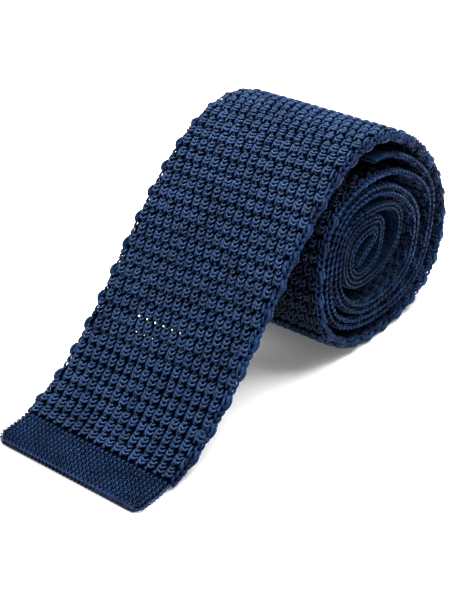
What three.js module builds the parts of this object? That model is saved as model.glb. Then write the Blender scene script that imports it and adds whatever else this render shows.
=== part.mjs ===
import * as THREE from 'three';

// A knit tie, folded in half at the neck and rolled up from the fold. The roll stands on its outer
// turn, and the last stretch of the blade runs down from its top like a ramp to the hem, which lies
// flat. Millimetres, Z up, X from the hem towards the roll, Y across the width of the cloth.

// Blade, the wide end: a flattened knitted tube, so two plies thick, pressed thinner inside the roll
const bladeWidth = 55;
const bladeThickness = 3.3;
const bladePressedThickness = 1.9;
const ribSpacing = 3.2;
const ribDepth = 0.5;

// Picot edge of blade and tail: a row of small knitted loops that stand out past the side
const picotSpacing = 8.7;
const picotReach = 1.3;

// Plain knitted band that closes the blade
const hemBandLength = 13.5;
const hemBandThickness = 2.2;
const hemBandInset = 0.5;
const hemLyingLength = 6;
const hemCornerRadius = 3;

// Tail, the narrow end, with its own plain band. It lies outside the blade in the roll, and its end
// springs free of it under the outer turn
const tailWidth = 48;
const tailThickness = 1.9;
const tailBandLength = 12;
const tailBandThickness = 1.6;
const tailLift = 3.6;
const tailLiftLength = 50;

// Neck, the plain knitted stretch between blade and tail, which holds the fold at the roll's heart
const neckWidth = 34;
const neckThickness = 1.2;
const neckEdgeRound = 0.3;
const foldBendRadius = 2.1;
const foldTongueLength = 9;
const foldTongueSlope = 33;

// Roll and ramp
const rollWidth = 73;
const rollHeight = 71;
const rampRun = 79.6;

// Clear space between the two strands of a turn, between turns, and between pieces end to end
const strandGap = 0.3;
const turnGap = 0.35;
const jointGap = 0.3;

// Level handles of the ramp's S-shaped arc, as shares of its run
const rampHandles = { foot: 0.38, top: 0.4 };

// Slope of the cloth's pointed sides: how far in the flat faces begin, as a share of the thickness
const sideSlope = 1 / 3;

// Where the corners of a cross-section lie round it, as shares of the way round from the far side
const cornerShares = { faceFar: 0.05, faceNear: 0.45, near: 0.5, backNear: 0.55, backFar: 0.95 };

// Cross-sections of the hem band: shares of the corner's radius, then of the rest of the band
const hemStations = { corner: [0, 0.06, 0.2, 0.45, 1], rest: [0, 0.4, 0.7, 1] };

// The extreme points of the blade's outer face, turn by turn. Slack is the free space to the turn
// outside as a share of the roll's width, place is where along the side the point lies as a share of
// the roll's width or height, and fullness is how square the quarter that leads to it is
const turnTable = [
  { turn: 1, side: 'top', slack: 0, place: 0.37, fullness: 0 },
  { turn: 1, side: 'right', slack: 0, place: 0.373, fullness: 0.47 },
  { turn: 1, side: 'bottom', slack: 0, place: 0.492, fullness: 0.67 },
  { turn: 1, side: 'left', slack: 0, place: 0.451, fullness: 0.62 },
  { turn: 2, side: 'top', slack: 0.122, place: 0.362, fullness: 0.7 },
  { turn: 2, side: 'right', slack: 0.056, place: 0.483, fullness: 0.48 },
  { turn: 2, side: 'bottom', slack: 0.039, place: 0.526, fullness: 0.7 },
  { turn: 2, side: 'left', slack: 0.0015, place: 0.431, fullness: 0.65 },
  { turn: 3, side: 'top', slack: 0.018, place: 0.357, fullness: 0.71 },
  { turn: 3, side: 'right', slack: 0.063, place: 0.448, fullness: 0.45 },
  { turn: 3, side: 'bottom', slack: 0.009, place: 0.441, fullness: 0.72 },
  { turn: 3, side: 'left', slack: 0.001, place: 0.446, fullness: 0.53 },
  { turn: 4, side: 'top', slack: 0.027, place: 0.321, fullness: 0.72 },
  { turn: 4, side: 'right', slack: 0.083, place: 0.513, fullness: 0.64 },
  { turn: 4, side: 'bottom', slack: 0.089, place: 0.347, fullness: 0.61 },
  { turn: 4, side: 'left', slack: 0.002, place: 0.471, fullness: 0.58 },
  { turn: 5, side: 'top', slack: 0.002, place: 0.33, fullness: 0.7 },
  { turn: 5, side: 'right', slack: 0.102, place: 0.547, fullness: 0.7 },
  { turn: 5, side: 'bottom', slack: 0.004, place: 0.325, fullness: 0.68 },
  { turn: 5, side: 'left', slack: 0.002, place: 0.475, fullness: 0.6 },
  { turn: 6, side: 'top', slack: 0.003, place: 0.385, fullness: 0.62 },
];

// Where the cloth changes, in turns wound from the top of the roll
const turnsAt = {
  pressStart: 0.78,
  pressEnd: 1.05,
  tailEnd: 1,
  taper: 2,
  thin: 2.75,
  neck: 3,
};

// How finely curves and cloth are divided
const arcSteps = 24;
const longestStep = 4;
const shortestStep = 1;
const searchStep = 0.5;
const sharpestStep = 16;
const foldSteps = 6;

const knit = new THREE.MeshStandardMaterial({ color: 0x20406b, roughness: 0.75, metalness: 0 });

function smooth(value, low, high) {
  return THREE.MathUtils.smoothstep(value, low, high);
}

function blend(from, to, share) {
  return THREE.MathUtils.lerp(from, to, share);
}

function bladeThicknessAt(turns) {
  const pressed = smooth(turns, turnsAt.pressStart, turnsAt.pressEnd);
  const pressedTo = blend(bladeThickness, bladePressedThickness, pressed);
  return blend(pressedTo, neckThickness, smooth(turns, turnsAt.thin, turnsAt.neck));
}

function tailThicknessAt(turns) {
  return blend(tailThickness, neckThickness, smooth(turns, turnsAt.thin, turnsAt.neck));
}

// Room that the tail strand takes outside the line; its sprung end takes none
function tailRoomAt(turns) {
  return turns > turnsAt.tailEnd ? tailThicknessAt(turns) + strandGap : 0;
}

// The extreme points in millimetres. Each turn lies inside the last by the cloth between the two
// faces and the slack
function extremePoints() {
  const points = [];
  turnTable.forEach((row, i) => {
    const outside = points[i - 4];
    const turns = i / 4;
    const cloth = bladeThicknessAt(turns - 1) + turnGap + tailRoomAt(turns);
    const inset = outside ? cloth + row.slack * rollWidth : 0;
    const across = rampRun + row.place * rollWidth;
    const up = row.place * rollHeight;
    const starts = { top: rollHeight, right: rampRun + rollWidth, bottom: 0, left: rampRun };
    const place = {
      top: () => new THREE.Vector2(across, (outside ? outside.y : starts.top) - inset),
      right: () => new THREE.Vector2((outside ? outside.x : starts.right) - inset, up),
      bottom: () => new THREE.Vector2(across, (outside ? outside.y : starts.bottom) + inset),
      left: () => new THREE.Vector2((outside ? outside.x : starts.left) + inset, up),
    };
    points.push(place[row.side]());
  });
  return points;
}

function cubicArc(from, fromHandle, toHandle, to) {
  return new THREE.CubicBezierCurve(from, fromHandle, toHandle, to).getPoints(arcSteps);
}

// The ramp: flat at the hem, then one S-shaped arc up to the top of the roll
function rampLine(top) {
  const hem = new THREE.Vector2(0, hemBandThickness);
  const foot = new THREE.Vector2(hemLyingLength, hemBandThickness);
  const run = top.x - foot.x;
  const footHandle = new THREE.Vector2(foot.x + rampHandles.foot * run, foot.y);
  const topHandle = new THREE.Vector2(top.x - rampHandles.top * run, top.y);
  return [hem, ...cubicArc(foot, footHandle, topHandle, top)];
}

// A quarter turn from one extreme point to the next, level at top and bottom, upright at the sides
function quarterTurn(from, to, fullness, startsLevel) {
  const reachX = (to.x - from.x) * fullness;
  const reachZ = (to.y - from.y) * fullness;
  const handles = startsLevel
    ? [new THREE.Vector2(from.x + reachX, from.y), new THREE.Vector2(to.x, to.y - reachZ)]
    : [new THREE.Vector2(from.x, from.y + reachZ), new THREE.Vector2(to.x - reachX, to.y)];
  return cubicArc(from, ...handles, to).slice(1);
}

// The inner end: a tight bend from level, then a straight tongue that slants back down
function foldLine(start) {
  const endHeading = THREE.MathUtils.degToRad(foldTongueSlope) - Math.PI;
  const points = [];
  for (let i = 1; i <= arcSteps; i += 1) {
    const heading = (endHeading * i) / arcSteps;
    points.push(new THREE.Vector2(
      start.x - foldBendRadius * Math.sin(heading),
      start.y - foldBendRadius * (1 - Math.cos(heading)),
    ));
  }
  const bendEnd = points[points.length - 1];
  const tongue = new THREE.Vector2(Math.cos(endHeading), Math.sin(endHeading));
  for (let i = 1; i <= foldSteps; i += 1) {
    points.push(bendEnd.clone().addScaledVector(tongue, (foldTongueLength * i) / foldSteps));
  }
  return points;
}

// The whole line of the blade's outer face, from the hem to the fold. Each point has its direction,
// the length run from the hem and the turns wound from the top of the roll
function wholeLine() {
  const extremes = extremePoints();
  const ramp = rampLine(extremes[0]);
  const points = [...ramp];
  for (let i = 1; i < extremes.length; i += 1) {
    points.push(...quarterTurn(extremes[i - 1], extremes[i], turnTable[i].fullness, i % 2 === 1));
  }
  points.push(...foldLine(extremes[extremes.length - 1]));
  let run = 0;
  return points.map((point, i) => {
    const before = points[Math.max(i - 1, 0)];
    const after = points[Math.min(i + 1, points.length - 1)];
    run += point.distanceTo(before);
    return {
      point,
      direction: after.clone().sub(before).normalize(),
      run,
      turns: Math.max(i - ramp.length + 1, 0) / (4 * arcSteps),
    };
  });
}

const line = wholeLine();
const lineLength = line[line.length - 1].run;

// A place on the line at a length from the hem: point, direction, outward normal and turns
function placeAt(run) {
  let next = 1;
  while (next < line.length - 1 && line[next].run < run) {
    next += 1;
  }
  const before = line[next - 1];
  const after = line[next];
  const share = THREE.MathUtils.clamp((run - before.run) / (after.run - before.run), 0, 1);
  const direction = before.direction.clone().lerp(after.direction, share).normalize();
  return {
    run,
    point: before.point.clone().lerp(after.point, share),
    direction,
    normal: new THREE.Vector2(-direction.y, direction.x),
    turns: blend(before.turns, after.turns, share),
  };
}

function runAtTurns(turns) {
  return line.find((entry) => entry.turns >= turns).run;
}

const pressedRun = runAtTurns(turnsAt.pressEnd);
const taperRun = runAtTurns(turnsAt.taper);
const neckRun = runAtTurns(turnsAt.neck);
const tailEndRun = runAtTurns(turnsAt.tailEnd);

// Lengths along the line with a whole number of picots, two steps to a picot
function picotRuns(from, to) {
  const picots = Math.round((to - from) / picotSpacing);
  return Array.from({ length: 2 * picots + 1 }, (_, i) => ({
    run: from + ((to - from) * i) / (2 * picots),
    picot: i % 2 === 1 ? picotReach : 0,
  }));
}

// Lengths along the line for plain cloth, closer together where it bends
function plainRuns(from, to) {
  const runs = [from];
  let last = placeAt(from);
  for (let run = from; run < to; run += searchStep) {
    const place = placeAt(run);
    const bend = THREE.MathUtils.radToDeg(last.direction.angleTo(place.direction));
    if (run - last.run >= longestStep || bend >= sharpestStep) {
      runs.push(run);
      last = place;
    }
  }
  if (to - runs[runs.length - 1] < shortestStep && runs.length > 1) {
    runs.pop();
  }
  return [...runs, to].map((run) => ({ run, picot: 0 }));
}

// One cross-section of the cloth: a flat bar with pointed sides, its face in ribs where they show.
// Its corners run round from the far side over the face to the near side and back underneath
function crossSection(place, shape) {
  const { thickness, centre, near, far, picot, ribs } = shape;
  const round = thickness * sideSlope;
  const corners = [{ y: far + picot, up: 0, share: 0 }];
  const ribCount = ribs ? Math.round((far - near) / ribSpacing) : 0;
  const faceSteps = Math.max(2 * ribCount, 1);
  for (let i = 0; i <= faceSteps; i += 1) {
    const groove = ribCount > 0 && i % 2 === 0 ? ribDepth : 0;
    corners.push({
      y: blend(far - round, near + round, i / faceSteps),
      up: thickness / 2 - groove,
      share: blend(cornerShares.faceFar, cornerShares.faceNear, i / faceSteps),
    });
  }
  corners.push({ y: near - picot, up: 0, share: cornerShares.near });
  corners.push({ y: near + round, up: -thickness / 2, share: cornerShares.backNear });
  corners.push({ y: far - round, up: -thickness / 2, share: cornerShares.backFar });
  return corners.map((corner) => ({
    share: corner.share,
    flat: new THREE.Vector2(corner.y, corner.up),
    point: new THREE.Vector3(
      place.point.x + place.normal.x * (centre + corner.up),
      corner.y,
      place.point.y + place.normal.y * (centre + corner.up),
    ),
  }));
}

// Triangles between two rings of corners, stepping on along whichever ring lags behind
function joinRings(first, second, triangles) {
  let a = 0;
  let b = 0;
  const shareOf = (ring, i) => (i < ring.length ? ring[i].share : 1 + ring[0].share);
  const pointOf = (ring, i) => ring[i % ring.length].point;
  while (a < first.length || b < second.length) {
    const stepFirst = a < first.length
      && (b >= second.length || shareOf(first, a + 1) <= shareOf(second, b + 1));
    if (stepFirst) {
      triangles.push([pointOf(first, a), pointOf(first, a + 1), pointOf(second, b)]);
      a += 1;
    } else {
      triangles.push([pointOf(first, a), pointOf(second, b + 1), pointOf(second, b)]);
      b += 1;
    }
  }
}

// A flat end over a ring, wound with the ring or against it
function closeEnd(ring, withRing, triangles) {
  const outline = ring.map((corner) => corner.flat);
  for (const [a, b, c] of THREE.ShapeUtils.triangulateShape(outline, [])) {
    const alongRing = THREE.ShapeUtils.area([outline[a], outline[b], outline[c]]) > 0;
    const order = alongRing === withRing ? [a, b, c] : [a, c, b];
    triangles.push(order.map((index) => ring[index].point));
  }
}

function enclosedVolume(triangles) {
  return triangles.reduce((sum, [a, b, c]) => sum + a.dot(b.clone().cross(c)) / 6, 0);
}

// A closed body through a row of cross-sections
function clothBody(name, rings) {
  const triangles = [];
  for (let i = 1; i < rings.length; i += 1) {
    joinRings(rings[i - 1], rings[i], triangles);
  }
  closeEnd(rings[0], false, triangles);
  closeEnd(rings[rings.length - 1], true, triangles);
  if (enclosedVolume(triangles) < 0) {
    triangles.forEach((triangle) => triangle.reverse());
  }
  const geometry = new THREE.BufferGeometry().setFromPoints(triangles.flat());
  geometry.computeVertexNormals();
  const mesh = new THREE.Mesh(geometry, knit.clone());
  mesh.name = name;
  return mesh;
}

function cornerInset(distance) {
  const short = Math.max(hemCornerRadius - distance, 0);
  return hemCornerRadius - Math.sqrt(hemCornerRadius ** 2 - short ** 2);
}

// Blade strand: its outer face is the line, so its middle lies half a thickness inside it
function bladeSection({ run, picot }) {
  const place = placeAt(run);
  const thickness = bladeThicknessAt(place.turns);
  const far = blend(bladeWidth, neckWidth, smooth(run, taperRun, neckRun));
  const ribs = run <= pressedRun;
  return crossSection(place, { thickness, centre: -thickness / 2, near: 0, far, picot, ribs });
}

function blade() {
  const runs = picotRuns(hemBandLength + jointGap, neckRun);
  return clothBody('blade', runs.map(bladeSection));
}

// Hem band: flat on the surface, then rising with the ramp, with its two free corners rounded
function endBand() {
  const cornerRuns = hemStations.corner.map((share) => share * hemCornerRadius);
  const restRuns = hemStations.rest.map((share) => blend(hemLyingLength, hemBandLength, share));
  const rings = [...cornerRuns, ...restRuns].map((run) => {
    const inset = hemBandInset + cornerInset(run);
    return crossSection(placeAt(run), {
      thickness: hemBandThickness,
      centre: -hemBandThickness / 2,
      near: inset,
      far: bladeWidth - inset,
      picot: 0,
    });
  });
  return clothBody('end_band', rings);
}

// Tail strand: outside the line by the gap between strands, and sprung free of it towards its end
function tailSection({ run, picot }, thicknessShare = 1) {
  const place = placeAt(run);
  const thickness = tailThicknessAt(place.turns) * thicknessShare;
  const lift = tailLift * (1 - smooth(run, tailEndRun, tailEndRun + tailLiftLength));
  const far = blend(tailWidth, neckWidth, smooth(run, taperRun, neckRun));
  return crossSection(place, {
    thickness,
    centre: strandGap + lift + thickness / 2,
    near: 0,
    far,
    picot,
  });
}

function tail() {
  const runs = picotRuns(tailEndRun + tailBandLength + jointGap, neckRun);
  return clothBody('tail', runs.map((entry) => tailSection(entry)));
}

function tailEndBand() {
  const runs = plainRuns(tailEndRun, tailEndRun + tailBandLength);
  const rings = runs.map((entry) => tailSection(entry, tailBandThickness / tailThickness));
  return clothBody('tail_end_band', rings);
}

// Half circle round the end of the line that joins the two strands of the neck
function foldPlaces() {
  const { point, direction, normal } = placeAt(lineLength);
  const centre = point.clone().addScaledVector(normal, strandGap / 2);
  const radius = (strandGap + neckThickness) / 2;
  const places = [];
  for (let i = 1; i < foldSteps; i += 1) {
    const angle = (Math.PI * i) / foldSteps;
    const inward = normal.clone().multiplyScalar(Math.cos(angle))
      .addScaledVector(direction, -Math.sin(angle));
    places.push({ point: centre.clone().addScaledVector(inward, -radius), normal: inward });
  }
  return places;
}

// Neck: in along the blade's side of the line, round the fold, and out along the tail's side. Its
// face is the side that lies against itself
function neckBand() {
  const shape = { thickness: neckThickness, centre: 0, near: 0, far: neckWidth, picot: neckEdgeRound };
  const places = plainRuns(neckRun + jointGap, lineLength).map((entry) => placeAt(entry.run));
  const inward = places.map(({ point, normal }) => ({
    point: point.clone().addScaledVector(normal, -neckThickness / 2),
    normal,
  }));
  const outward = places.map(({ point, normal }) => ({
    point: point.clone().addScaledVector(normal, strandGap + neckThickness / 2),
    normal: normal.clone().negate(),
  }));
  const track = [...inward, ...foldPlaces(), ...outward.reverse()];
  return clothBody('neck_band', track.map((place) => crossSection(place, shape)));
}

// The origin is the middle of the footprint, on the surface that the tie lies on
function knitTie() {
  const pieces = new THREE.Group();
  pieces.add(endBand(), blade(), neckBand(), tail(), tailEndBand());
  const footprint = new THREE.Box3().setFromObject(pieces).getCenter(new THREE.Vector3());
  pieces.position.set(-footprint.x, -footprint.y, 0);
  const tie = new THREE.Group();
  tie.add(pieces);
  return tie;
}

const group = knitTie();

export default group;
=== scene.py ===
import bpy
import numpy as np
from mathutils import Matrix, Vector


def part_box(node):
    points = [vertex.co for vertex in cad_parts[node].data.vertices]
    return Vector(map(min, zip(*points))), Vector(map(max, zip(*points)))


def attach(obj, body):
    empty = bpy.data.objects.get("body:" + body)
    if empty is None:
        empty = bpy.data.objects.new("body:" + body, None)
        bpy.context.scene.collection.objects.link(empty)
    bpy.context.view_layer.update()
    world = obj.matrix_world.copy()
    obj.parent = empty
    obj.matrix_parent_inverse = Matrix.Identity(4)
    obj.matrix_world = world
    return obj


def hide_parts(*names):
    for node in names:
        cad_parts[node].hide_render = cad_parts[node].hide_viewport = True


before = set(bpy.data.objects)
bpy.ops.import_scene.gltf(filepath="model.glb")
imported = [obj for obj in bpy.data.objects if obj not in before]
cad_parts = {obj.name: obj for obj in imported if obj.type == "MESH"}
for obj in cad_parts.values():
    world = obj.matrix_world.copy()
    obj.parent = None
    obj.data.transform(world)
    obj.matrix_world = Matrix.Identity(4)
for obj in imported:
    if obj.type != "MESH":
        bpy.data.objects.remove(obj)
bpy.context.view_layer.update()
chance = np.random.default_rng(7)
mm = 0.001

# sizes in millimetres, as in the part's source; the extreme points of the roll are shares
roll = {
    "width": 73.0, "height": 71.0, "rampRun": 79.6,
    "hemThickness": 2.2, "hemLying": 6.0, "rampFoot": 0.38, "rampTop": 0.4,
    "bladeThickness": 3.3, "bladePressed": 1.9, "tailThickness": 1.9, "neckThickness": 1.2,
    "strandGap": 0.3, "turnGap": 0.35,
    "foldRadius": 2.1, "foldTongue": 9.0, "foldSlope": 33.0,
    "pressStart": 0.78, "pressEnd": 1.05, "tailEnd": 1.0, "taper": 2.0, "thin": 2.75, "neck": 3.0,
    "arcSteps": 60,
    # slack to the turn outside, place along the side, fullness of the quarter before it;
    # top, right, bottom and left of each turn
    "extremes": [
        (0.0, 0.37, 0.0), (0.0, 0.373, 0.47), (0.0, 0.492, 0.67), (0.0, 0.451, 0.62),
        (0.122, 0.362, 0.7), (0.056, 0.483, 0.48), (0.039, 0.526, 0.7), (0.0015, 0.431, 0.65),
        (0.018, 0.357, 0.71), (0.063, 0.448, 0.45), (0.009, 0.441, 0.72), (0.001, 0.446, 0.53),
        (0.027, 0.321, 0.72), (0.083, 0.513, 0.64), (0.089, 0.347, 0.61), (0.002, 0.471, 0.58),
        (0.002, 0.33, 0.7), (0.102, 0.547, 0.7), (0.004, 0.325, 0.68), (0.002, 0.475, 0.6),
        (0.003, 0.385, 0.62),
    ],
}


def smoothStep(value, low, high):
    share = np.clip((value - low) / (high - low), 0, 1)
    return share * share * (3 - 2 * share)


def bladeThicknessAt(turns):
    pressed = smoothStep(turns, roll["pressStart"], roll["pressEnd"])
    loose = roll["bladeThickness"] + (roll["bladePressed"] - roll["bladeThickness"]) * pressed
    return loose + (roll["neckThickness"] - loose) * smoothStep(turns, roll["thin"], roll["neck"])


def tailThicknessAt(turns):
    thin = smoothStep(turns, roll["thin"], roll["neck"])
    return roll["tailThickness"] + (roll["neckThickness"] - roll["tailThickness"]) * thin


# cubic arc: the four points weighed with (1-t)^3, 3(1-t)^2 t, 3(1-t) t^2 and t^3
def cubicArc(a, b, c, d):
    t = np.linspace(0, 1, roll["arcSteps"] + 1)[:, None]
    return (1 - t) ** 3 * a + 3 * (1 - t) ** 2 * t * b + 3 * (1 - t) * t ** 2 * c + t ** 3 * d


# extreme points of the blade's outer face, each turn inside the last by cloth and slack
def extremePoints():
    points = []
    for i, (slack, place, _) in enumerate(roll["extremes"]):
        side = i % 4
        level = side in (0, 2)
        inward = -1 if side in (0, 1) else 1
        if i < 4:
            start = (roll["height"], roll["rampRun"] + roll["width"], 0.0, roll["rampRun"])[side]
            inset = 0.0
        else:
            start = points[i - 4][1 if level else 0]
            tailRoom = tailThicknessAt(i / 4) + roll["strandGap"] if i / 4 > roll["tailEnd"] else 0
            inset = bladeThicknessAt(i / 4 - 1) + roll["turnGap"] + tailRoom + slack * roll["width"]
        across = roll["rampRun"] + place * roll["width"]
        up = place * roll["height"]
        moved = start + inward * inset
        points.append(np.array([across, moved] if level else [moved, up]))
    return points


# the blade's outer face seen from the near side: points, run from the hem, turns wound, heading
def clothLine():
    extremes = extremePoints()
    top = extremes[0]
    foot = np.array([roll["hemLying"], roll["hemThickness"]])
    reach = top[0] - foot[0]
    ramp = cubicArc(foot, foot + [roll["rampFoot"] * reach, 0],
                    top - [roll["rampTop"] * reach, 0], top)
    parts = [np.array([[0.0, roll["hemThickness"]]]), ramp]
    for i in range(1, len(extremes)):
        a, b = extremes[i - 1], extremes[i]
        x, z = (b - a) * roll["extremes"][i][2]
        leaves, arrives = (a + [x, 0], b - [0, z]) if i % 2 else (a + [0, z], b - [x, 0])
        parts.append(cubicArc(a, leaves, arrives, b)[1:])
    rampCount = len(ramp) + 1
    bend = np.linspace(0, np.radians(roll["foldSlope"]) - np.pi, roll["arcSteps"] + 1)[1:]
    fold = extremes[-1] - roll["foldRadius"] * np.stack([np.sin(bend), 1 - np.cos(bend)], 1)
    share = np.linspace(0, 1, 13)[1:, None]
    tongue = fold[-1] + share * roll["foldTongue"] * np.array([np.cos(bend[-1]), np.sin(bend[-1])])
    points = np.concatenate(parts + [fold, tongue])
    run = np.concatenate([[0], np.cumsum(np.hypot(*np.diff(points, axis=0).T))])
    turns = np.maximum(np.arange(len(points)) - rampCount + 1, 0) / (4 * roll["arcSteps"])
    return points, run, turns


linePoints, lineRun, lineTurns = clothLine()


# upright of a line: its heading turned a quarter to the left
def uprights(points):
    ahead = np.gradient(points, axis=0)
    ahead /= np.hypot(*ahead.T)[:, None]
    return np.stack([-ahead[:, 1], ahead[:, 0]], 1)


def runAtTurns(turns):
    return float(lineRun[np.searchsorted(lineTurns, turns)])


pressedRun, taperRun, neckRun = (runAtTurns(roll[k]) for k in ("pressEnd", "taper", "neck"))
tailEndRun = runAtTurns(roll["tailEnd"])
print("cloth line:", round(float(lineRun[-1])), "mm")

knit = {
    "bladeWidth": 55.0, "tailWidth": 48.0, "neckWidth": 34.0,
    "hemBandLength": 13.5, "hemBandInset": 0.5, "hemCorner": 3.0, "hemFarCorner": 5.0,
    "tailBandLength": 12.0, "tailBandThickness": 1.6, "tailLift": 3.6, "tailLiftLength": 50.0,
    "jointGap": 0.3,
    "nominalWale": 1.57, "wales": 72,          # columns of stitches round the whole tube
    "drift": ([14, 42, 85, 115], [0.45, -3.55, -1.9, -2.7]),   # runs, and wales at each run
    "repeat": 4.367,      # half the distance between two picots
    "splitRuns": (90, 155),   # where the ramp's stitches go over to the next piece
    "yarnRoom": 0.52,     # from the middle of the yarns to the cloth's outer face
    # repeats and wales with open pores, and how many wales later they start in the first repeat
    "openStations": (7, 8), "openWales": (15, 25), "openDrift": 3.22, "openLate": 5.0,
    "coreDepth": 0.45,    # how far the dark ground lies under the middle of the yarns
    "groundShort": 0.35,  # how far the ground stops short of the strand's ends
}
coarseRun = knit["hemBandLength"] + knit["jointGap"]


# a strand is a table along its run: middle line, upright, near and far edge, half thicknesses
def strand(run, points, near, far, thickness, room=None):
    room = knit["yarnRoom"] if room is None else room
    half = np.maximum(thickness / 2 - room, 0.3) * np.ones_like(run)
    edge = min(room, 0.15)
    near, far = near * np.ones_like(run) + edge, far * np.ones_like(run) - edge
    return {"run": run, "points": points, "upright": uprights(points), "half": half,
            "flat": (far - near) / 2 - half, "middle": (far + near) / 2}


def cutLine(start, end, extra=()):
    between = lineRun[(lineRun > start) & (lineRun < end)]
    runs = np.unique(np.concatenate([[start, end], between, extra]))
    points = np.stack([np.interp(runs, lineRun, linePoints[:, i]) for i in (0, 1)], 1)
    upright = uprights(linePoints)
    upright = np.stack([np.interp(runs, lineRun, upright[:, i]) for i in (0, 1)], 1)
    return runs, points, upright, np.interp(runs, lineRun, lineTurns)


def bladeStrand():
    run, points, upright, turns = cutLine(coarseRun, neckRun)
    thickness = bladeThicknessAt(turns)
    narrow = smoothStep(run, taperRun, neckRun)
    far = knit["bladeWidth"] + (knit["neckWidth"] - knit["bladeWidth"]) * narrow
    return strand(run, points - upright * thickness[:, None] / 2, 0, far, thickness)


# a corner's inset: a quarter circle of its radius
def cornerInset(run, radius):
    short = np.maximum(radius - run, 0)
    return knit["hemBandInset"] + radius - np.sqrt(radius ** 2 - short ** 2)


def hemStrand():
    corner = np.linspace(0, 1, 13) ** 2 * knit["hemFarCorner"]
    run, points, upright, _ = cutLine(0, coarseRun + 1.2, corner)
    thickness = roll["hemThickness"]
    near = cornerInset(run, knit["hemCorner"])
    far = knit["bladeWidth"] - cornerInset(run, knit["hemFarCorner"])
    return strand(run, points - upright * thickness / 2, near, far, thickness, 0.48)


def tailStrand(start, end, thicknessShare):
    run, points, upright, turns = cutLine(start, end)
    thickness = tailThicknessAt(turns) * thicknessShare
    lift = knit["tailLift"] * (1 - smoothStep(run, tailEndRun, tailEndRun + knit["tailLiftLength"]))
    narrow = smoothStep(run, taperRun, neckRun)
    far = knit["tailWidth"] + (knit["neckWidth"] - knit["tailWidth"]) * narrow
    middle = points + upright * (roll["strandGap"] + lift + thickness / 2)[:, None]
    return strand(run, middle, 0, far, thickness)


# the neck runs in on the blade's side of the line, round its end, and out on the tail's side
def neckStrand():
    _, points, upright, _ = cutLine(neckRun + knit["jointGap"], lineRun[-1])
    inward = points - upright * roll["neckThickness"] / 2
    outward = points + upright * (roll["strandGap"] + roll["neckThickness"] / 2)
    angle = np.linspace(0, np.pi, 13)[1:-1, None]
    ahead = np.array([upright[-1, 1], -upright[-1, 0]])
    centre = points[-1] + upright[-1] * roll["strandGap"] / 2
    radius = (roll["strandGap"] + roll["neckThickness"]) / 2
    bend = centre - radius * (np.cos(angle) * upright[-1] - np.sin(angle) * ahead)
    track = np.concatenate([inward, bend, outward[::-1]])
    run = np.concatenate([[0], np.cumsum(np.hypot(*np.diff(track, axis=0).T))])
    return strand(run, track, 0, knit["neckWidth"], roll["neckThickness"], 0.3)


# flattened tube: two flat faces joined by half circles. Round is the way round it as a share,
# from the middle of the near edge over the outer face; lift is the height above it
def onTube(cloth, run, around, lift):
    table = lambda values: np.interp(run, cloth["run"], values)
    half, flat = table(cloth["half"]), table(cloth["flat"])
    quarter = np.pi * half / 2
    way = np.mod(around, 1) * (4 * flat + 4 * quarter)
    nearTop = way < quarter
    top = (way >= quarter) & (way < quarter + 2 * flat)
    farEnd = (way >= quarter + 2 * flat) & (way < 3 * quarter + 2 * flat)
    under = (way >= 3 * quarter + 2 * flat) & (way < 3 * quarter + 4 * flat)
    angle = np.select(
        [nearTop, top, farEnd, under],
        [way / half - np.pi / 2, 0 * way, (way - quarter - 2 * flat) / half, np.pi + 0 * way],
        np.pi + (way - 3 * quarter - 4 * flat) / half,
    )
    across = np.select(
        [nearTop, top, farEnd, under],
        [-flat, way - quarter - flat, flat, 3 * quarter + 3 * flat - way],
        -flat,
    )
    across = across + np.sin(angle) * (half + lift)
    out = np.cos(angle) * (half + lift)
    x, z = (table(cloth["points"][:, i]) + out * table(cloth["upright"][:, i]) for i in (0, 1))
    return np.stack([x, table(cloth["middle"]) + across, z], -1)


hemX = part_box("end_band")[0][0] / mm
nearY = -knit["bladeWidth"] / 2


# a mesh from points in the hem's millimetres, rows of corners per face, and a UV per point
def meshFrom(name, points, faceRows, uv, material, replaced=(), depth=None):
    mesh = bpy.data.meshes.new(name)
    flat = np.concatenate([rows.ravel() for rows in faceRows]).astype(np.int32)
    totals = np.concatenate([np.full(len(rows), rows.shape[1]) for rows in faceRows])
    starts = np.concatenate([[0], np.cumsum(totals)[:-1]])
    placed = (points + [hemX, nearY, 0]) * mm
    placed[:, 2] = np.maximum(placed[:, 2], 0)
    mesh.vertices.add(len(points))
    mesh.vertices.foreach_set("co", placed.astype(np.float32).ravel())
    mesh.loops.add(len(flat))
    mesh.loops.foreach_set("vertex_index", flat)
    mesh.polygons.add(len(totals))
    mesh.polygons.foreach_set("loop_start", starts.astype(np.int32))
    mesh.polygons.foreach_set("use_smooth", np.ones(len(totals), bool))
    mesh.update(calc_edges=True)
    layer = mesh.uv_layers.new(name="yarn")
    layer.data.foreach_set("uv", uv[flat].astype(np.float32).ravel())
    # each point's depth, which the yarn's material turns into painted shade
    if depth is not None:
        values = mesh.attributes.new("depth", "FLOAT", "POINT").data
        values.foreach_set("value", depth.astype(np.float32))
    mesh.materials.append(material)
    piece = bpy.data.objects.new(name, mesh)
    bpy.context.collection.objects.link(piece)
    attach(piece, "root")
    if replaced:
        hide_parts(*replaced)
    triangles = int((totals - 2).sum())
    print(f"{name}: {triangles} triangles")
    return piece


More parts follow.
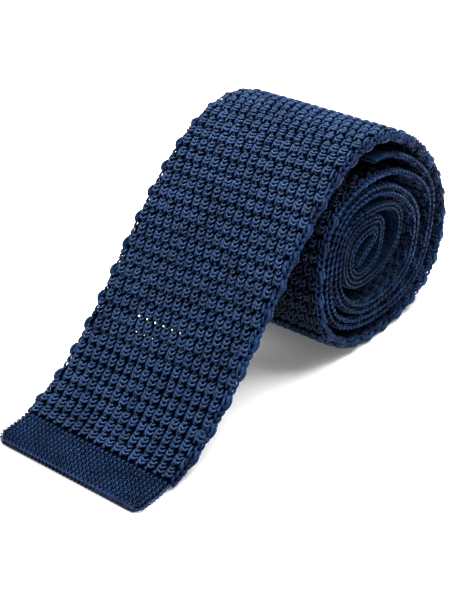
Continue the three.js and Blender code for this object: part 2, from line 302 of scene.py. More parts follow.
# yarn: a ring of sides carried along a path, closed at both ends. Path columns are run, across
# and lift; the ring stands square to the path
def yarnTemplate(path, radius, sides):
    ahead = np.gradient(path, axis=0)
    ahead /= np.linalg.norm(ahead, axis=1)[:, None]
    side = np.cross(ahead, [0.0, 0.0, 1.0])
    side /= np.linalg.norm(side, axis=1)[:, None]
    up = np.cross(side, ahead)
    turn = np.linspace(0, 2 * np.pi, sides, endpoint=False)
    ring = np.cos(turn)[None, :, None] * side[:, None] + np.sin(turn)[None, :, None] * up[:, None]
    radius = np.broadcast_to(radius, len(path))[:, None, None]
    points = (path[:, None] + radius * ring).reshape(-1, 3)
    count = len(path)
    k, i = (a.ravel() for a in np.meshgrid(np.arange(count - 1), np.arange(sides), indexing="ij"))
    j = (i + 1) % sides
    quads = np.stack([k * sides + i, k * sides + j, (k + 1) * sides + j, (k + 1) * sides + i], 1)
    caps = np.stack([np.arange(sides)[::-1], (count - 1) * sides + np.arange(sides)])
    length = np.concatenate([[0], np.cumsum(np.linalg.norm(np.diff(path, axis=0), axis=1))])
    uv = np.stack([np.repeat(length, sides), np.tile(turn / (2 * np.pi), count)], 1)
    return {"points": points, "quads": quads, "caps": caps, "uv": uv}


# many copies of one yarn template on a strand: each copy's place is a run and a wale number.
# Along stretches it on the run, height stretches its rise, lift raises it, and shallow makes its
# material count it as higher up than it lies, and so gives it less painted shade
def stamp(cloth, template, run, wale, along, lift=0.0, height=1.0, shallow=0.0):
    local = template["points"][None]
    count = len(run)
    run, wale, along, lift = (np.broadcast_to(v, count)[:, None] for v in (run, wale, along, lift))
    runs = np.clip(run + along * local[..., 0], cloth["run"][0], cloth["run"][-1])
    around = (wale + 0.5 + local[..., 1] / knit["nominalWale"]) / knit["wales"]
    points = onTube(cloth, runs, around, height * local[..., 2] + lift)
    each = runs.shape[1]
    offset = (np.arange(count) * each)[:, None, None]
    # the depth that the material turns into painted shade; shallow lessens it
    depth = np.broadcast_to(height * local[..., 2] + lift, runs.shape) / height + shallow
    start = np.repeat(chance.random((count, 2)), each, 0) * [9, 1]   # where the twist begins
    return {
        "points": points.reshape(-1, 3),
        "depth": depth.ravel(),
        "quads": (template["quads"][None] + offset).reshape(-1, 4),
        "caps": (template["caps"][None] + offset).reshape(-1, template["caps"].shape[1]),
        "uv": np.tile(template["uv"], (count, 1)) + start,
    }


def joined(name, stamps, material, replaced=()):
    points = np.concatenate([s["points"] for s in stamps])
    uv = np.concatenate([s["uv"] for s in stamps])
    rows, offset = [], 0
    for s in stamps:
        rows += [s["quads"] + offset, s["caps"] + offset]
        offset += len(s["points"])
    depth = np.concatenate([s["depth"] for s in stamps])
    return meshFrom(name, points, rows, uv, material, replaced, depth)


stitch = {
    # radii of the yarns
    "yarn": 0.4, "barYarn": 0.4, "beadYarn": 0.35, "picotYarn": 0.42, "postYarn": 0.3,
    "plainYarn": 0.2, "rimYarn": 0.32, "archYarn": 0.3,
    # forms
    "loopWidth": 0.82, "loopLength": 1.3, "loopTop": 0.55, "loopDrop": 0.95, "lean": 0.22,
    "loopBend": 1.45, "loopSpread": 1.95, "loopDip": 2.5,
    "linkWidth": 0.6, "linkLength": 1.0, "linkTop": 0.3,
     "barLength": 3.6, "barSlant": 0.6, "barLift": 0.05,
    "beadWidth": 0.24, "beadSlant": 0.25,
    "picotReach": 1.2, "picotWidth": 1.75,
    # places in a repeat, on the run and across
    "loopRuns": (0.95, 2.2), "loopAcross": (-0.12, 0.06), "linkRun": 3.6, "linkAcross": 0.42,
    "bar": 1.85, "barAcross": -0.2, "fillRun": 4.8, "fillAcross": 0.7,
    "poreRun": 4.4, "poreAcross": 0.37, "poreRadius": 0.3,
    # rows of the plain knit and of the rims; their shallows shift their painted shade, and the rims
    # get more of it
    "plainRow": 1.5, "plainShallow": 0.05, "rimRow": 2.1, "rimHeight": 0.85, "rimShallow": -0.12,
}


# loop: a rounded V, closed towards the hem; width follows a sine, length a cosine of the way
# along it, and its ends dip under the next loop with the power 2.5
def loopPath(steps, kind="loop"):
    t = np.linspace(-1, 1, steps + 1)
    bend = stitch["loopBend"]
    length = stitch[kind + "Length"] * (1 - np.cos(bend * t)) / (1 - np.cos(bend))
    width = stitch[kind + "Width"] * np.sin(stitch["loopSpread"] * t) + stitch["lean"] * length
    rise = stitch[kind + "Top"] - stitch["loopDrop"] * np.abs(t) ** stitch["loopDip"]
    return np.stack([length, width, rise], 1)


# bar: a long stitch that lies low, slants a little, and dips at both ends with the fourth power
def barPath(steps):
    t = np.linspace(-1, 1, steps + 1)
    along = stitch["barLength"] / 2 * t
    return np.stack([along, stitch["barSlant"] * t / 2,
                     stitch["barLift"] - 0.3 * np.abs(t) ** 4], 1)


# bead: a short arch across the wale; width follows a sine, and its rise falls with the square
def beadPath(steps):
    t = np.linspace(-1, 1, steps + 1)
    return np.stack([stitch["beadSlant"] * t, stitch["beadWidth"] * np.sin(1.5 * t),
                     0.25 - 0.55 * t ** 2], 1)


# picot: an arch that stands out of the edge along the run, as high as a cosine
def picotPath(steps):
    t = np.linspace(-1, 1, steps + 1)
    reach = stitch["picotReach"] * np.cos(1.35 * t) - 0.25
    return np.stack([stitch["picotWidth"] * np.sin(1.5 * t), 0.25 * np.sin(np.pi * t), reach], 1)


# post: a straight yarn that leans outwards under the arch
def picotPost(steps):
    t = np.linspace(0, 1, steps + 1)
    return np.stack([0.2 * t, 0.5 * (t - 0.5), stitch["picotReach"] * (0.85 * t - 0.1)], 1)


# plain stitch: one leg of a V that opens away from the hem; across follows a quarter of a sine,
# and its rise half a sine to the power 0.8
def plainLeg(side, steps):
    t = np.linspace(0, 1, steps + 1)
    across = side * (0.2 + 0.5 * np.sin(np.pi * t / 2)) + 0.25 * (t - 0.5)
    return np.stack([-0.3 + 1.95 * t, across, -0.6 + 0.85 * np.sin(np.pi * t) ** 0.8], 1)


# cast-off edge: one arch per wale, closed towards the hem; run and rise follow the square of the
# way across it
def castOff(steps):
    t = np.linspace(-1, 1, steps + 1)
    return np.stack([0.32 + 0.5 * t ** 2, 0.66 * t, 0.12 - 0.2 * t ** 2], 1)


# rim stitch: a wider, rounder leg that stands up between the ends, where the next one holds it;
# across follows a sine to the power 1.5, and its rise half a sine
def rimLeg(side, steps):
    t = np.linspace(0, 1, steps + 1)
    across = side * (0.08 + 0.66 * np.sin(2.2 * t) ** 1.5)
    return np.stack([-0.2 + 1.8 * t, across, -0.4 + 0.9 * np.sin(np.pi * t)], 1)


fine = {
    "loop": yarnTemplate(loopPath(8), stitch["yarn"], 5),
    "link": yarnTemplate(loopPath(6, "link"), stitch["yarn"], 5),
    "bar": yarnTemplate(barPath(4), stitch["barYarn"], 5),
    "bead": yarnTemplate(beadPath(3), stitch["beadYarn"], 5),
}
coarse = {
    "loop": yarnTemplate(loopPath(6), stitch["yarn"] * 1.05, 4),
    "link": yarnTemplate(loopPath(4, "link"), stitch["yarn"] * 1.05, 4),
    "bar": yarnTemplate(barPath(3), stitch["barYarn"] * 1.05, 4),
    "bead": yarnTemplate(beadPath(2), stitch["beadYarn"] * 1.1, 4),
}
picot = {
    "arch": yarnTemplate(picotPath(8), stitch["picotYarn"], 5),
    "post": yarnTemplate(picotPost(2), stitch["postYarn"], 5),
}
plain = {side: yarnTemplate(plainLeg(side, 4), stitch["plainYarn"], 4) for side in (-1, 1)}
rim = {side: yarnTemplate(rimLeg(side, 4), stitch["rimYarn"], 4) for side in (-1, 1)}
hemArch = yarnTemplate(castOff(4), stitch["archYarn"], 4)
thin = {side: yarnTemplate(rimLeg(side, 3), stitch["rimYarn"], 3) for side in (-1, 1)}
print("yarn templates")


# an sRGB hex colour as the linear one that a shader reads
def linear(hexColour):
    share = np.array([int(hexColour[i:i + 2], 16) for i in (1, 3, 5)]) / 255
    value = np.where(share <= 0.04045, share / 12.92, ((share + 0.055) / 1.055) ** 2.4)
    return (*[float(v) for v in value], 1.0)


def addNode(tree, kind, settings=None, inputs=None):
    node = tree.nodes.new(kind)
    for key, value in (settings or {}).items():
        setattr(node, key, value)
    for key, value in (inputs or {}).items():
        if isinstance(value, bpy.types.NodeSocket):
            tree.links.new(value, node.inputs[key])
        else:
            node.inputs[key].default_value = value
    return node


def newMaterial(name):
    material = bpy.data.materials.new(name)
    material.use_nodes = True
    material.node_tree.nodes.clear()
    return material, material.node_tree


silk = {
    # light and dark shade, and gloss
    "coarse": ("#1f375a", "#152948", 0.12), "plain": ("#17325a", "#0f2446", 0.1),
    # inner is the fine yarn with painted shade, darker for the depths of the roll, and less glossy
    "inner": ("#16304f", "#0b1d38", 0.05), "rim": ("#17325a", "#091a36", 0.05),
    # painted shade: the colour of the ply grooves, and the near-black that yarn goes to as it lies
    # deeper, from none at high to most at deep
    "groove": "#080f1e", "shade": "#03070f", "deep": -0.7, "high": 0.45,
    "roughness": 0.32, "twist": 1.1, "plyBump": 0.6,
}


# mulberry silk, three plies twisted into a firm cord: a soft lustre that breaks into short
# slanting glints, and slight differences of shade from stitch to stitch. Painted shade darkens
# the grooves between the plies, and darkens the yarn the deeper it lies
def silkYarn(name, light, dark, gloss):
    material, tree = newMaterial(name)
    coordinates = addNode(tree, "ShaderNodeTexCoord")
    uv = addNode(tree, "ShaderNodeUVMap", {"uv_map": "yarn"})
    split = addNode(tree, "ShaderNodeSeparateXYZ", inputs={"Vector": uv.outputs["UV"]})
    along = addNode(tree, "ShaderNodeMath", {"operation": "MULTIPLY"},
                    {0: split.outputs["X"], 1: 1 / silk["twist"]})
    ply = addNode(tree, "ShaderNodeMath", {"operation": "ADD"},
                  {0: along.outputs[0], 1: split.outputs["Y"]})
    phase = addNode(tree, "ShaderNodeMath", {"operation": "MULTIPLY"},
                    {0: ply.outputs[0], 1: 6 * np.pi})
    wave = addNode(tree, "ShaderNodeMath", {"operation": "SINE"}, {0: phase.outputs[0]})
    shade = addNode(tree, "ShaderNodeTexNoise", inputs={
        "Vector": coordinates.outputs["Object"], "Scale": 160.0, "Detail": 2.0})
    blotch = addNode(tree, "ShaderNodeMapRange", inputs={
        "Value": shade.outputs["Fac"], "From Min": 0.35, "From Max": 0.65})
    colour = addNode(tree, "ShaderNodeMix", {"data_type": "RGBA"}, {
        "Factor": blotch.outputs["Result"], "A": linear(dark), "B": linear(light)})
    # painted shade in the grooves between the plies
    plyGrooveShade = addNode(tree, "ShaderNodeMapRange", inputs={
        "Value": wave.outputs[0], "From Min": -1.0, "From Max": -0.2,
        "To Min": 0.45, "To Max": 0.0})
    final = addNode(tree, "ShaderNodeMix", {"data_type": "RGBA"}, {
        "Factor": plyGrooveShade.outputs["Result"], "A": colour.outputs["Result"],
        "B": linear(silk["groove"])})
    # painted shade: the deeper the yarn lies, the more its colour goes to the shade colour
    depth = addNode(tree, "ShaderNodeAttribute", {"attribute_name": "depth"})
    shadow = addNode(tree, "ShaderNodeMapRange", inputs={
        "Value": depth.outputs["Fac"], "From Min": silk["deep"], "From Max": silk["high"],
        "To Min": 0.9, "To Max": 0.0})
    depthShadedColour = addNode(tree, "ShaderNodeMix", {"data_type": "RGBA"}, {
        "Factor": shadow.outputs["Result"], "A": final.outputs["Result"],
        "B": linear(silk["shade"])})
    bump = addNode(tree, "ShaderNodeBump", inputs={
        "Height": wave.outputs[0], "Strength": silk["plyBump"], "Distance": 0.00008})
    shader = addNode(tree, "ShaderNodeBsdfPrincipled", inputs={
        "Base Color": depthShadedColour.outputs["Result"], "Roughness": silk["roughness"],
        "Specular IOR Level": gloss, "Normal": bump.outputs["Normal"]})
    addNode(tree, "ShaderNodeOutputMaterial", inputs={"Surface": shader.outputs["BSDF"]})
    return material


# open pores where the ramp bends: a round hole in every second wale of the outer ground, in
# millimetres from its middle, and the whole inner ground behind those repeats left open, so that
# light comes through
def poreMask(tree):
    def math(operation, a, b=0.0):
        return addNode(tree, "ShaderNodeMath", {"operation": operation}, {0: a, 1: b}).outputs[0]

    uv = addNode(tree, "ShaderNodeUVMap", {"uv_map": "yarn"})
    split = addNode(tree, "ShaderNodeSeparateXYZ", inputs={"Vector": uv.outputs["UV"]})
    run, way = split.outputs["X"], split.outputs["Y"]
    start = coarseRun + stitch["poreRun"] - knit["repeat"] / 2
    place = math("DIVIDE", math("SUBTRACT", run, start), knit["repeat"])
    station = math("FLOOR", place)
    share = math("SUBTRACT", math("SUBTRACT", place, station), 0.5)
    along = math("MULTIPLY", share, knit["repeat"])
    aside = 0.5 - stitch["poreAcross"] + knit["openDrift"]
    pair = math("FRACT", math("MULTIPLY", math("ADD", math("ADD", way, station), aside), 0.5))
    across = math("MULTIPLY", math("SUBTRACT", pair, 0.5), 2 * knit["nominalWale"])
    away = math("SQRT", math("ADD", math("MULTIPLY", along, along),
                             math("MULTIPLY", across, across)))
    first, last = knit["openStations"]
    inside = math("MULTIPLY", math("GREATER_THAN", station, first - 0.5),
                  math("LESS_THAN", station, last + 0.5))
    low, high = knit["openWales"]
    late = math("MULTIPLY", math("LESS_THAN", station, first + 0.5), knit["openLate"])
    here = math("MULTIPLY", math("GREATER_THAN", way, math("ADD", late, low)),
                math("LESS_THAN", way, high + 1.0))
    hole = math("MULTIPLY", here, math("LESS_THAN", away, stitch["poreRadius"]))
    inner = math("GREATER_THAN", way, knit["wales"] / 2)
    return math("MULTIPLY", inside, math("MAXIMUM", hole, inner))


# where the ground lies bare of modelled stitches: past allFrom, and already past innerFrom on the
# inner face
def bareMask(tree, innerFrom, allFrom):
    def above(value, limit):
        return addNode(tree, "ShaderNodeMath", {"operation": "GREATER_THAN"},
                       {0: value, 1: limit}).outputs[0]

    uv = addNode(tree, "ShaderNodeUVMap", {"uv_map": "yarn"})
    split = addNode(tree, "ShaderNodeSeparateXYZ", inputs={"Vector": uv.outputs["UV"]})
    run, way = split.outputs["X"], split.outputs["Y"]
    onInner = addNode(tree, "ShaderNodeMath", {"operation": "MULTIPLY"}, {
        0: above(run, innerFrom), 1: above(way, knit["wales"] / 2)})
    return addNode(tree, "ShaderNodeMath", {"operation": "MAXIMUM"}, {
        0: onInner.outputs[0], 1: above(run, allFrom)}).outputs[0]


base = {
    # painted shade: the near-black of the sheet, and the darker hollows of the bare back
    "colour": "#02060f", "grainDark": "#020409", "hollowShade": "#03070f", "back": "#0c1c38",
    "grainScale": 900.0, "never": 1000.0, "always": -1.0,     # runs from which it lies bare
}


# a near-black sheet of painted shade under the stitches, standing in for the dark depths of the
# knit: matt and with a fine grain; where it lies bare it shows the back of the knit, a sine over
# half a repeat times a sine over a wale, with painted shade in its hollows
def paintedShadeGround(name, innerFrom, allFrom, pores=False):
    material, tree = newMaterial(name)
    uv = addNode(tree, "ShaderNodeUVMap", {"uv_map": "yarn"})
    split = addNode(tree, "ShaderNodeSeparateXYZ", inputs={"Vector": uv.outputs["UV"]})
    waves = []
    for socket, pitch in (("X", knit["repeat"] / 2), ("Y", 1.0)):
        phase = addNode(tree, "ShaderNodeMath", {"operation": "MULTIPLY"}, {
            0: split.outputs[socket], 1: 2 * np.pi / pitch})
        waves.append(addNode(tree, "ShaderNodeMath", {"operation": "SINE"}, {0: phase.outputs[0]}))
    waffle = addNode(tree, "ShaderNodeMath", {"operation": "MULTIPLY"}, {
        0: waves[0].outputs[0], 1: waves[1].outputs[0]})
    lumps = addNode(tree, "ShaderNodeMapRange", inputs={
        "Value": waffle.outputs[0], "From Min": -0.6, "From Max": 0.4})
    coordinates = addNode(tree, "ShaderNodeTexCoord")
    grain = addNode(tree, "ShaderNodeTexVoronoi", inputs={
        "Vector": coordinates.outputs["Object"], "Scale": base["grainScale"]})
    tone = addNode(tree, "ShaderNodeMapRange", inputs={
        "Value": grain.outputs["Distance"], "From Max": 0.7, "To Min": 1.0, "To Max": 0.3})
    shaded = addNode(tree, "ShaderNodeMix", {"data_type": "RGBA"}, {
        "Factor": tone.outputs["Result"], "A": linear(base["grainDark"]),
        "B": linear(base["colour"])})
    bump = addNode(tree, "ShaderNodeBump", inputs={
        "Height": grain.outputs["Distance"], "Strength": 0.6, "Distance": 0.0002})
    back = addNode(tree, "ShaderNodeMix", {"data_type": "RGBA"}, {
        "Factor": lumps.outputs["Result"], "A": linear(base["hollowShade"]), "B": linear(base["back"])})
    face = addNode(tree, "ShaderNodeMix", {"data_type": "RGBA"}, {
        "Factor": bareMask(tree, innerFrom, allFrom),
        "A": shaded.outputs["Result"], "B": back.outputs["Result"]})
    shader = addNode(tree, "ShaderNodeBsdfPrincipled", inputs={
        "Base Color": face.outputs["Result"], "Roughness": 0.9, "Specular IOR Level": 0.0,
        "Normal": bump.outputs["Normal"]})
    surface = shader.outputs["BSDF"]
    if pores:
        hole = poreMask(tree)
        clear = addNode(tree, "ShaderNodeBsdfTransparent")
        surface = addNode(tree, "ShaderNodeMixShader", inputs={
            0: hole, 1: surface, 2: clear.outputs["BSDF"]}).outputs["Shader"]
    addNode(tree, "ShaderNodeOutputMaterial", inputs={"Surface": surface})
    return material


coarseYarn = silkYarn("twisted_silk_yarn", *silk["coarse"])
plainYarn = silkYarn("fine_silk_yarn", *silk["plain"])
# painted shade: the tail band and neck use a darker copy of the fine yarn for the depths of the
# roll
shadedInnerYarn = silkYarn("shaded_inner_silk_yarn", *silk["inner"])
rimYarn = silkYarn("edge_silk_yarn", *silk["rim"])
rampEnd, topEnd, backEnd, innerRun = (runAtTurns(turns) for turns in (0.01, 0.36, 0.66, 2.9))
ground = paintedShadeGround("painted_shade_knit_ground", base["never"], base["never"])
porousGround = paintedShadeGround("porous_knit_ground", rampEnd, pressedRun, True)
bareGround = paintedShadeGround("bare_knit_ground", base["always"], base["always"])
print("materials")


# the ground of a strand: the flattened tube carried along the run, closed at both ends
def groundPiece(name, cloth, replaced, step=2.0, depth=knit["coreDepth"],
                flatSteps=12, endSteps=6, material=ground):
    start, end = cloth["run"][[0, -1]]
    count = max(int((end - start) / step), 8)
    run = np.linspace(start + knit["groundShort"], end - knit["groundShort"], count)
    half, flat = (np.interp(run, cloth["run"], cloth[k])[:, None] for k in ("half", "flat"))
    quarter = np.pi * half / 2
    ends = np.linspace(0, 1, endSteps + 1)
    whole = 4 * flat + 4 * quarter
    way = np.concatenate([
        ends[None, :-1] * quarter,
        quarter + np.linspace(0, 1, flatSteps + 1)[None, :-1] * 2 * flat,
        quarter + 2 * flat + np.linspace(0, 1, 2 * endSteps + 1)[None, :-1] * 2 * quarter,
        3 * quarter + 2 * flat + np.linspace(0, 1, flatSteps + 1)[None, :-1] * 2 * flat,
        3 * quarter + 4 * flat + ends[None, :-1] * quarter,
    ], 1)
    lift = -np.minimum(depth, half - 0.12) * np.ones_like(way)
    points = onTube(cloth, run[:, None] * np.ones_like(way), way / whole, lift)
    sides = way.shape[1]
    k, i = (a.ravel() for a in np.meshgrid(np.arange(count - 1), np.arange(sides), indexing="ij"))
    j = (i + 1) % sides
    quads = np.stack([k * sides + i, (k + 1) * sides + i, (k + 1) * sides + j, k * sides + j], 1)
    caps = np.stack([np.arange(sides), (count - 1) * sides + np.arange(sides)[::-1]])
    uv = np.stack([run[:, None] * np.ones_like(way), way / whole * knit["wales"]], -1)
    return meshFrom(name, points.reshape(-1, 3), [quads, caps], uv.reshape(-1, 2), material,
                    replaced)


blade, hem, neck = bladeStrand(), hemStrand(), neckStrand()
tail = tailStrand(tailEndRun + knit["tailBandLength"] + knit["jointGap"], neckRun, 1)
tailBand = tailStrand(tailEndRun, tailEndRun + knit["tailBandLength"],
                      knit["tailBandThickness"] / roll["tailThickness"])

bladeGround = groundPiece("blade_ground", blade, ["blade"], 3.0,
                          material=porousGround)
hemGround = groundPiece("end_band_ground", hem, ["end_band"], 0.8, 0.42)
tailGround = groundPiece("tail_ground", tail, ["tail"], material=bareGround)
tailBandGround = groundPiece("tail_end_band_ground", tailBand, ["tail_end_band"],
                             1.0, 0.2, material=bareGround)
neckGround = groundPiece("neck_band_ground", neck, ["neck_band"],
                         1.1, 0.12, 4, 4, bareGround)
print("ground cloths")


# the wales wind a little round the tube on their way from the hem: in wales, straight between the
# runs in the table
def waleDrift(run):
    return np.interp(run, *knit["drift"])


# the coarse knit: wales alternate between two loops with a link and one long bar, and change over
# at every repeat; a bead fills the rope behind each link. Places wander with two slow sines and a
# little chance. Bare leaves out links and beads, and shade adds painted shade to the whole piece;
# the bars get less painted shade than the loops
def coarseKnit(cloth, forms, firstRun, lastRun, wales, height=1.0, bare=False, shade=0.0):
    start = cloth["run"][0]
    first = int(np.ceil((firstRun - start) / knit["repeat"] - 1e-6))
    last = int(np.floor((lastRun - start) / knit["repeat"] + 1e-6))
    station, wale = (a.ravel() for a in np.meshgrid(np.arange(first, last), wales, indexing="ij"))
    run = start + station * knit["repeat"]
    wander = 0.1 * np.sin(station * 1.7 + wale * 0.13) + 0.12 * np.sin(wale * 0.7 + station * 0.11)
    shift = waleDrift(run)
    column = wale - np.round(shift)      # the wale that lies in this place here
    loops = (station + column) % 2 == 1
    place = column + shift

    def put(form, where, offset, along=1.0, across=0.0, shallow=0.0):
        n = int(where.sum())
        jitter = chance.normal(0, 0.09, (3, n))
        return stamp(cloth, forms[form], run[where] + offset + jitter[0] + wander[where],
                     place[where] + across + 0.8 * jitter[1], along + jitter[2] * 0.6,
                     0.5 * jitter[1] * height, height, shallow - shade)

    made = [put("loop", loops, offset, across=across)
            for offset, across in zip(stitch["loopRuns"], stitch["loopAcross"])]
    made.append(put("bar", ~loops, stitch["bar"], across=stitch["barAcross"], shallow=0.2))
    if not bare:
        made.append(put("link", loops, stitch["linkRun"], across=stitch["linkAcross"]))
        made.append(put("bead", loops, stitch["fillRun"], across=stitch["fillAcross"]))
        made.append(put("bead", ~loops & (station == 0), 0.5, across=-0.3))
    return made


# picots: every second repeat, on the wale next to the middle of the edge
def picots(cloth, firstRun, lastRun):
    start = cloth["run"][0]
    stations = np.arange(int(np.ceil((firstRun - start) / knit["repeat"])),
                         int((lastRun - start) / knit["repeat"]))
    made = []
    for wale, parity, late, reach in ((-0.5, 0, 0.8, 0.75), (knit["wales"] / 2 - 0.5, 1, 1.3, 1.0)):
        run = start + stations[stations % 2 == parity] * knit["repeat"] + late
        for shift in (-0.32, 0.32):
            made.append(stamp(cloth, picot["arch"], run + shift * 0.4,
                              np.full(len(run), wale + shift), 1.0, 0.0, reach, 0.1))
        made.append(stamp(cloth, picot["post"], run, np.full(len(run), wale), 1.0, 0.0, reach))
    return made


# the plain knit: rows of V stitches at an even pitch, as near to the row's height as fits the run
def plainKnit(cloth, forms, wales, row, height=1.0, firstRun=None, lastRun=None,
              shallow=stitch["plainShallow"]):
    start = cloth["run"][0] + 0.35 if firstRun is None else firstRun
    end = (cloth["run"][-1] if lastRun is None else lastRun) - 0.45
    rows = max(int(round((end - start) / row)), 1)
    pitch = (end - start) / rows
    station, wale = (a.ravel() for a in np.meshgrid(np.arange(rows), wales, indexing="ij"))
    jitter = chance.normal(0, 0.05, (2, len(station)))
    run = start + station * pitch + 0.1 + jitter[0]
    return [stamp(cloth, forms[side], run, wale + jitter[1], pitch / stitch["plainRow"], 0.0,
                  height, shallow)
            for side in (-1, 1)]


wales = np.arange(knit["wales"])
halfWales = knit["wales"] // 2
outerFace = np.arange(1, halfWales - 1)
innerFace = np.arange(halfWales + 1, knit["wales"] - 1)
rims = np.array([-1, 0, halfWales - 1, halfWales])
middleRun, topMiddle = (coarseRun + knit["repeat"] * round((run - coarseRun) / knit["repeat"])
                        for run in knit["splitRuns"])
nearInside, farInside = np.arange(-9, -1), np.arange(halfWales + 1, halfWales + 4)
inner = np.array([*range(-7, -1), *range(1, 5), *(halfWales + np.array([-3, -2, 1, 2]))])
tailBandWales = np.concatenate([np.arange(-4, 12), np.arange(halfWales - 2, halfWales + 2)])
neckWales = np.concatenate([np.arange(-4, 4), rims[2:]])


def coarsePiece(name, stamps):
    return joined(name, stamps, coarseYarn)


def plainPiece(name, stamps, material=plainYarn):
    return joined(name, stamps, material)


def rimPiece(name, stamps):
    return joined(name, stamps, rimYarn)


# painted shade: the rims lie darker
def rimKnit(cloth, firstRun, lastRun, forms=rim):
    return plainKnit(cloth, forms, rims, stitch["rimRow"], stitch["rimHeight"], firstRun, lastRun,
                     stitch["rimShallow"])


pieces = {
    "blade": [
        coarsePiece("blade_stitches_low", coarseKnit(blade, fine, coarseRun, middleRun, outerFace)),
        coarsePiece("blade_stitches_high",
                    coarseKnit(blade, fine, middleRun, topMiddle, outerFace)),
        coarsePiece("blade_stitches_top", coarseKnit(blade, fine, topMiddle, topEnd, outerFace)),
        # painted shade: the back past two thirds of the first turn, under the ramp, is darker
        coarsePiece("blade_stitches_back",
                    coarseKnit(blade, coarse, topEnd, backEnd, outerFace)
                    + coarseKnit(blade, coarse, backEnd, pressedRun, outerFace, shade=0.75)),
        # painted shade on the inner face under the ramp
        coarsePiece("blade_stitches_under_ramp",
                    coarseKnit(blade, coarse, coarseRun, rampEnd, innerFace, 1.0, True, 0.7)),
        # painted shade on the stitches inside the roll
        coarsePiece("blade_stitches_inside",
                    coarseKnit(blade, coarse, rampEnd, pressedRun,
                               np.concatenate([nearInside, farInside]), shade=0.4)
                    + coarseKnit(blade, coarse, pressedRun, innerRun, inner, 0.75, shade=0.4)),
        rimPiece("blade_rims", rimKnit(blade, coarseRun, pressedRun)
                 + rimKnit(blade, pressedRun, neckRun, thin)),
        rimPiece("blade_picots", picots(blade, coarseRun + 2, runAtTurns(0.95))),
    ],
    "tail": [
        # painted shade on the tail's stitches inside the roll
        coarsePiece("tail_stitches",
                    coarseKnit(tail, coarse, tail["run"][0], innerRun, inner, 0.75, shade=0.4)),
        rimPiece("tail_rims", rimKnit(tail, tail["run"][0], neckRun, thin)),
    ],
    "hem": [
        plainPiece("end_band_stitches",
                   plainKnit(hem, plain, wales, stitch["plainRow"], lastRun=coarseRun + 0.1)
                   # painted shade: the arches of the lower face are darker than those of the upper
                   # face
                   + [stamp(hem, hemArch, np.zeros(halfWales), wales[:halfWales], 1.0, shallow=0.3),
                      stamp(hem, hemArch, np.zeros(halfWales), wales[halfWales:], 1.0,
                            shallow=-0.1)]),
    ],
    "tailBand": [
        plainPiece("tail_end_band_stitches",
                   plainKnit(tailBand, thin, tailBandWales, stitch["plainRow"], 0.9), shadedInnerYarn),
    ],
    "neck": [
        plainPiece("neck_band_stitches", plainKnit(neck, thin, neckWales, 1.6, 0.6), shadedInnerYarn),
    ],
}
print("stitches")


studio = {
    "floorSize": 6.0, "floor": "#f7f6f5", "floorGlow": 0.12, "world": 0.2,
    "lights": {
        "key": {"place": (0.123, -0.118, 0.38), "size": 0.25, "watts": 2.7},
        "right": {"place": (0.465, -0.588, 0.8), "size": 0.9, "watts": 3.5},
        "back": {"place": (0.148, 0.093, 0.38), "size": 0.25, "watts": 4.0},
        "left": {"place": (-0.465, 0.588, 0.8), "size": 0.6, "watts": 5.4},
        "front": {"place": (-0.702, 0.082, 0.85), "size": 0.6, "watts": 6.4},
    },
    "camera": {"place": (-0.27810, -0.21580, 0.22628), "heading": 38.319, "down": 30.297,
               "lens": 81.06, "sensor": 36.0},
}


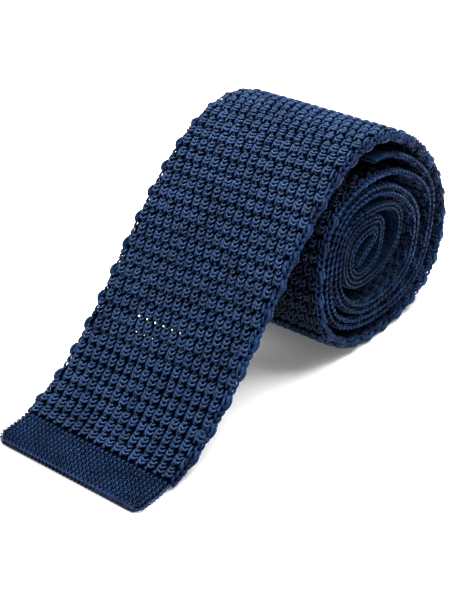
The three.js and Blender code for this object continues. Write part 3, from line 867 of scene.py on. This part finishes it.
# matt painted board: even and pale, with a faint glow of its own that keeps shadows light
def floorPiece():
    mesh = bpy.data.meshes.new("floor")
    size = studio["floorSize"]
    corners = [(-size, -size, 0), (size, -size, 0), (size, size, 0), (-size, size, 0)]
    mesh.from_pydata(corners, [], [(0, 1, 2, 3)])
    material, tree = newMaterial("pale_floor")
    coordinates = addNode(tree, "ShaderNodeTexCoord")
    grain = addNode(tree, "ShaderNodeTexNoise", inputs={
        "Vector": coordinates.outputs["Object"], "Scale": 40.0})
    tone = addNode(tree, "ShaderNodeMapRange", inputs={
        "Value": grain.outputs["Fac"], "To Min": 0.55, "To Max": 0.6})
    shader = addNode(tree, "ShaderNodeBsdfPrincipled", inputs={
        "Base Color": linear(studio["floor"]), "Roughness": tone.outputs["Result"],
        "Specular IOR Level": 0.2, "Emission Color": (1.0, 1.0, 1.0, 1.0),
        "Emission Strength": studio["floorGlow"]})
    addNode(tree, "ShaderNodeOutputMaterial", inputs={"Surface": shader.outputs["BSDF"]})
    mesh.materials.append(material)
    floor = bpy.data.objects.new("floor", mesh)
    bpy.context.collection.objects.link(floor)
    return floor


# a square light that faces the origin
def areaLight(name, facts):
    data = bpy.data.lights.new(name, "AREA")
    data.energy, data.size = facts["watts"], facts["size"]
    light = bpy.data.objects.new(name, data)
    bpy.context.collection.objects.link(light)
    place = np.array(facts["place"])
    away = place / np.linalg.norm(place)
    side = np.cross([0, 0, 1], away)
    side /= np.linalg.norm(side)
    up = np.cross(away, side)
    turned = Matrix([[*row] for row in np.stack([side, up, away], 1)]).to_4x4()
    turned.translation = place
    light.matrix_world = turned
    return light


def cameraPiece():
    facts = studio["camera"]
    heading, down = np.radians(facts["heading"]), np.radians(facts["down"])
    away = -np.array([np.cos(heading) * np.cos(down), np.sin(heading) * np.cos(down),
                      -np.sin(down)])
    side = np.array([np.sin(heading), -np.cos(heading), 0])
    turned = Matrix([[*row] for row in np.stack([side, np.cross(away, side), away], 1)]).to_4x4()
    turned.translation = facts["place"]
    data = bpy.data.cameras.new("camera")
    data.lens, data.sensor_fit, data.sensor_height = facts["lens"], "VERTICAL", facts["sensor"]
    data.clip_start, data.clip_end = 0.01, 50.0
    camera = bpy.data.objects.new("camera", data)
    camera.matrix_world = turned
    bpy.context.collection.objects.link(camera)
    bpy.context.scene.camera = camera


def worldLight():
    world = bpy.data.worlds.new("studio")
    world.use_nodes = True
    background = world.node_tree.nodes["Background"]
    background.inputs["Color"].default_value = (1, 1, 1, 1)
    background.inputs["Strength"].default_value = studio["world"]
    bpy.context.scene.world = world


bpy.context.scene.view_settings.view_transform = "Standard"
floorPiece()
for lightName, lightFacts in studio["lights"].items():
    areaLight(lightName, lightFacts)
worldLight()
cameraPiece()
print("stage, light and camera")
